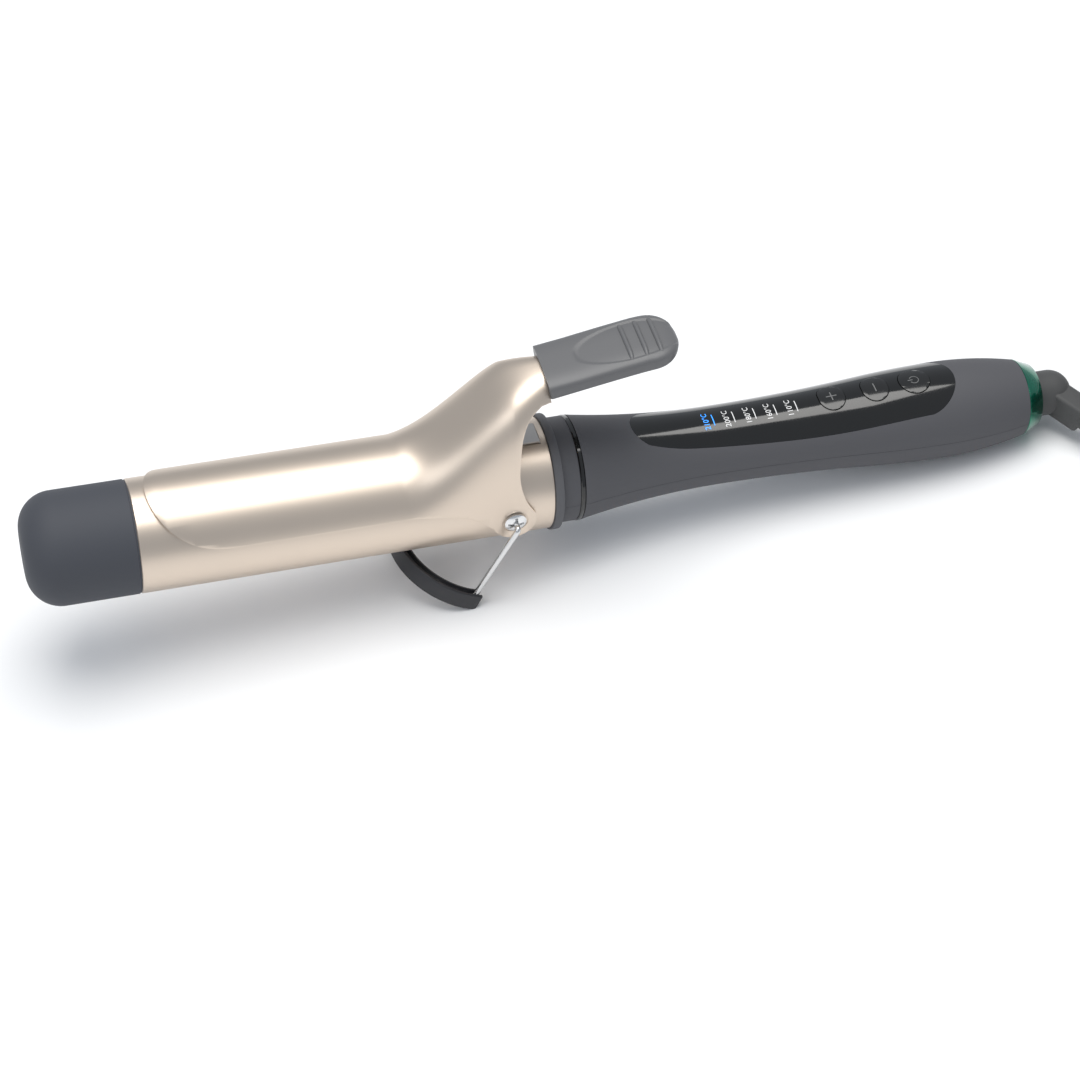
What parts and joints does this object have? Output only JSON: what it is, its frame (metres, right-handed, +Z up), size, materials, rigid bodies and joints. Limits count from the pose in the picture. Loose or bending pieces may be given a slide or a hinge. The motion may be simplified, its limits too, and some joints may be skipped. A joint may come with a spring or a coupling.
{
  "type": "curling iron",
  "caption": "Curling iron with a sprung clamp on a pivot, cool tip, fold-back wire stand, push-button temperature scale, swivel cord elbow, coiled cord and two-pin plug.",
  "frame": {"origin": "on the surface that the iron stands on, below the middle of the iron's box without its cord", "axes": "+X from the tip towards the handle's end, +Y across to the far side, +Z up"},
  "size_m": [0.4982, 0.09, 0.0856],
  "materials": {
    "barrel_metal": "satin champagne coating",
    "tip_black": "satin blue-black",
    "cast_metal": "as cast",
    "ceramic": "fired ceramic",
    "bright_metal": "bright plated",
    "lead_red": "silicone sleeve",
    "spring_steel": "bright strip",
    "collar_grey": "smooth",
    "handle_black": "fine spark texture",
    "lens_gloss": "gloss",
    "ring_green": "metallic emerald",
    "board_green": "solder mask",
    "guide_white": "milky",
    "button_black": "gloss",
    "switch_grey": "moulded",
    "contact_brass": "turned",
    "cord_rubber": "matt",
    "cap_grey": "satin",
    "foot_black": "satin",
    "tie_black": "matt",
    "plug_black": "satin"
  },
  "bodies": {
    "iron": {"barrel_tube": "barrel_metal", "brush_contacts": "contact_brass", "ceramic_heater": "ceramic", "contact_plate": "switch_grey", "control_board": "board_green", "control_chip": "switch_grey", "control_lens": "lens_gloss", "cool_tip": "tip_black", "cord_coil": "cord_rubber", "cord_run": "cord_rubber", "cord_tail": "cord_rubber", "cord_tie": "tie_black", "end_ring": "ring_green", "handle_lower_shell": "handle_black", "handle_upper_shell": "handle_black", "heat_collar": "collar_grey", "heater_block_lower": "cast_metal", "heater_block_upper": "cast_metal", "heater_leads": "lead_red", "indicator_leds": "guide_white", "lever_spring": "spring_steel", "light_guide": "guide_white", "pivot_bracket": "spring_steel", "pivot_screws": "bright_metal", "plug_body": "plug_black", "plug_pins": "bright_metal", "plug_strain_relief": "cord_rubber", "power_triac": "switch_grey", "shell_screws": "spring_steel", "smoothing_capacitor": "switch_grey", "supply_leads": "lead_red", "tact_switches": "switch_grey", "temperature_sensor": "ceramic", "thermal_fuse": "bright_metal", "tip_insulator": "tip_black", "trim_ring": "lens_gloss"},
    "lever": {"lever_plate": "barrel_metal", "thumb_cap": "cap_grey"},
    "stand": {"stand_wire": "bright_metal", "stand_foot": "foot_black"},
    "plus": {"button_plus": "button_black"},
    "minus": {"button_minus": "button_black"},
    "power": {"button_power": "button_black"},
    "swivel": {"swivel_hub": "switch_grey", "slip_rings": "contact_brass", "cord_elbow": "cord_rubber"}
  },
  "joints": [
    {"name": "clamp", "type": "hinge", "parent": "iron", "child": "lever", "pos_m": [-0.03247, 0.00315, 0.03456], "axis": [0, 1, 0], "range_deg": [0, 18], "stiffness_Nm_per_rad": 0.4, "springref_deg": -28.65, "deforming": ["lever_spring"]},
    {"name": "stand_fold", "type": "hinge", "parent": "iron", "child": "stand", "pos_m": [-0.03247, 0.00315, 0.03456], "axis": [0, 1, 0], "range_deg": [-110, 0]},
    {"name": "plus_press", "type": "slide", "parent": "iron", "child": "plus", "axis": [-0.108, 0, -0.9942], "range_m": [0, 0.0006], "stiffness_N_per_m": 400, "springref_m": -0.001},
    {"name": "minus_press", "type": "slide", "parent": "iron", "child": "minus", "axis": [-0.108, 0, -0.9942], "range_m": [0, 0.0006], "stiffness_N_per_m": 400, "springref_m": -0.001},
    {"name": "power_press", "type": "slide", "parent": "iron", "child": "power", "axis": [-0.108, 0, -0.9942], "range_m": [0, 0.0006], "stiffness_N_per_m": 400, "springref_m": -0.001},
    {"name": "cord_swivel", "type": "hinge", "parent": "iron", "child": "swivel", "pos_m": [0.16009, 0.00315, 0.01364], "axis": [0.9942, 0, -0.108], "continuous": true}
  ]
}
